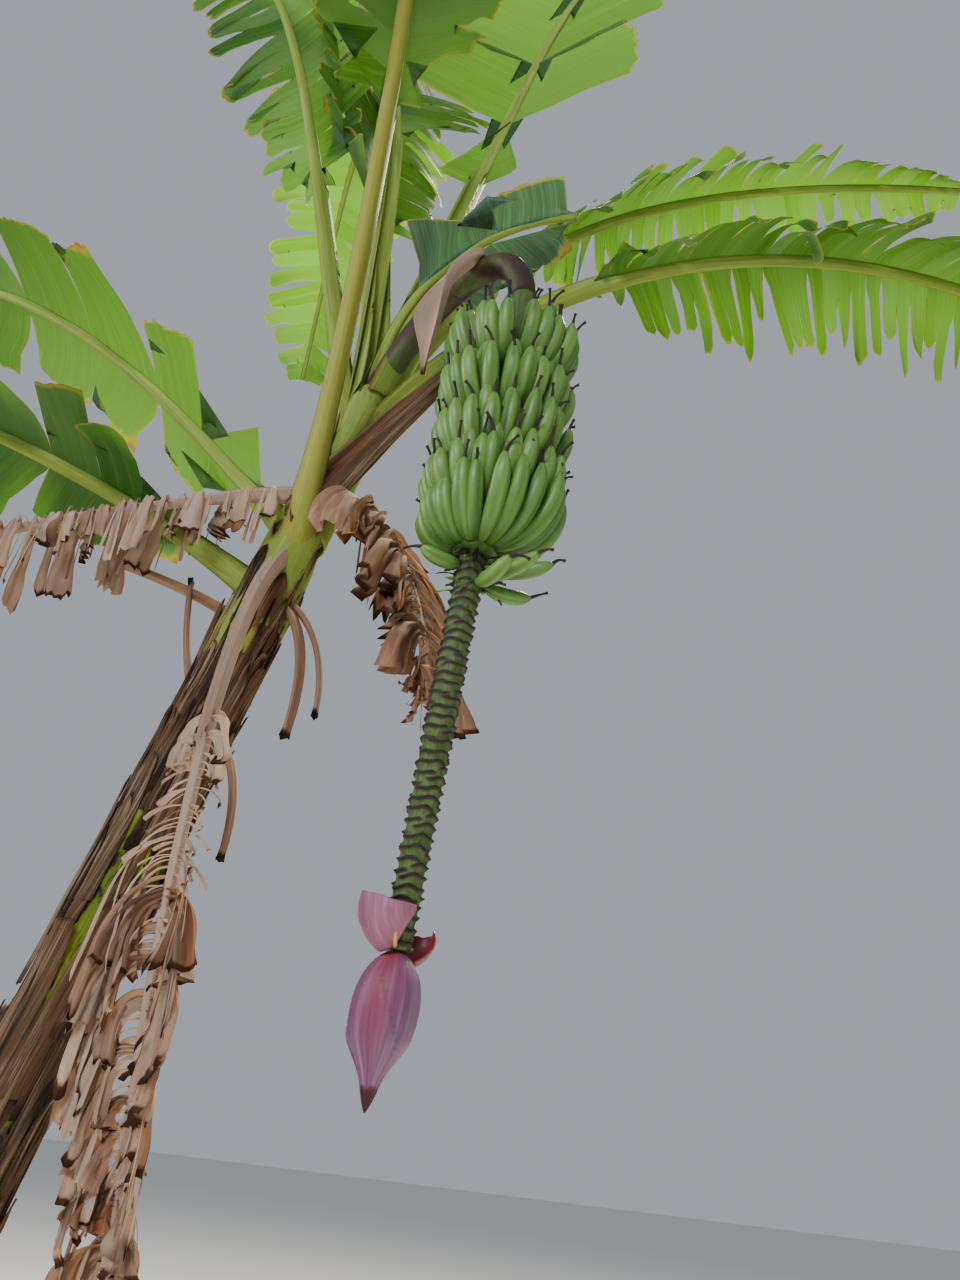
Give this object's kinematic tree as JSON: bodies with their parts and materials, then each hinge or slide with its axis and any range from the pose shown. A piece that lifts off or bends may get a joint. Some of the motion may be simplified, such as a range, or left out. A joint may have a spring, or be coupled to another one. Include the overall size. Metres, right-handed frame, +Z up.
{
  "type": "banana plant",
  "caption": "Leaning banana plant in fruit, with long torn leaves, dead leaves and stubs down its trunk, and a bunch of green fruit over a purple bud.",
  "frame": {"origin": "centre of the flat cut under the trunk, at ground level", "axes": "+Z up, +X the way the trunk leans, +Y away from the side that the fruit hangs on"},
  "size_m": [4.3621, 3.8693, 5.7923],
  "materials": {
    "trunk": "matt, fibrous",
    "dry_sheath": "matt, fibrous",
    "dry_leaf": "matt, papery",
    "leaf": "satin",
    "flag_leaf": "satin, waxy",
    "stalk": "satin",
    "fruit": "satin",
    "bud": "matt, waxy",
    "bract": "satin"
  },
  "bodies": {
    "root": {"bunch_stalk": "stalk", "bunch_stalk_bend": "stalk", "dead_leaf_hanging": "dry_leaf", "dead_leaf_left": "dry_leaf", "dead_leaf_right": "dry_leaf", "dry_bract": "dry_sheath", "dry_neck_sheath": "dry_sheath", "flower_bud": "bud", "fruit_hand_1": "fruit", "fruit_hand_2": "fruit", "fruit_hand_3": "fruit", "fruit_hand_4": "fruit", "fruit_hand_5": "fruit", "leaf_flag": "flag_leaf", "leaf_front": "leaf", "leaf_left_high": "leaf", "leaf_left_low": "leaf", "leaf_left_mid": "leaf", "leaf_middle": "leaf", "leaf_rear_hanging": "leaf", "leaf_rear_rising": "leaf", "leaf_right_back": "leaf", "leaf_right_high": "leaf", "leaf_right_low": "leaf", "old_sheath_1": "dry_sheath", "old_sheath_2": "dry_sheath", "old_sheath_3": "dry_sheath", "old_sheath_4": "dry_sheath", "old_sheath_5": "dry_sheath", "old_sheath_6": "dry_sheath", "raised_bract_left": "bract", "raised_bract_rear": "bract", "stalk_stub_1": "dry_sheath", "stalk_stub_2": "dry_sheath", "stalk_stub_3": "dry_sheath", "stalk_stub_4": "dry_sheath", "stalk_stub_5": "dry_sheath", "stalk_stub_6": "dry_sheath", "trunk": "trunk"}
  },
  "joints": []
}
